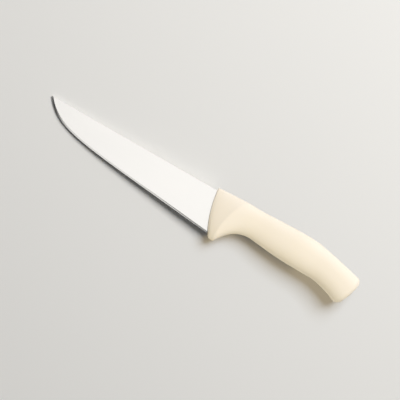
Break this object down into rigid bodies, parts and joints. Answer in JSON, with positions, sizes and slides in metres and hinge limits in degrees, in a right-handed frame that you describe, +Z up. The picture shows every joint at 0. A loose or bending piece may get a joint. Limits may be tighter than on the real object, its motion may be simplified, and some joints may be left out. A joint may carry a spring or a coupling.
{
  "type": "meat knife",
  "caption": "Butcher's meat knife with a tapered, ground steel blade and a moulded cream plastic handle with a finger guard.",
  "frame": {"origin": "on the table, under the middle of the knife's box as it lies on its side", "axes": "+X from the tip to the butt, +Y from the cutting edge to the spine, +Z up from the table, through the thickness"},
  "size_m": [0.305, 0.044, 0.0244],
  "materials": {
    "steel": "fine satin grind along the flanks, brighter bevel",
    "plastic": "smooth moulded cream plastic with a low sheen"
  },
  "bodies": {
    "root": {"blade": "steel", "handle": "plastic"}
  },
  "joints": []
}
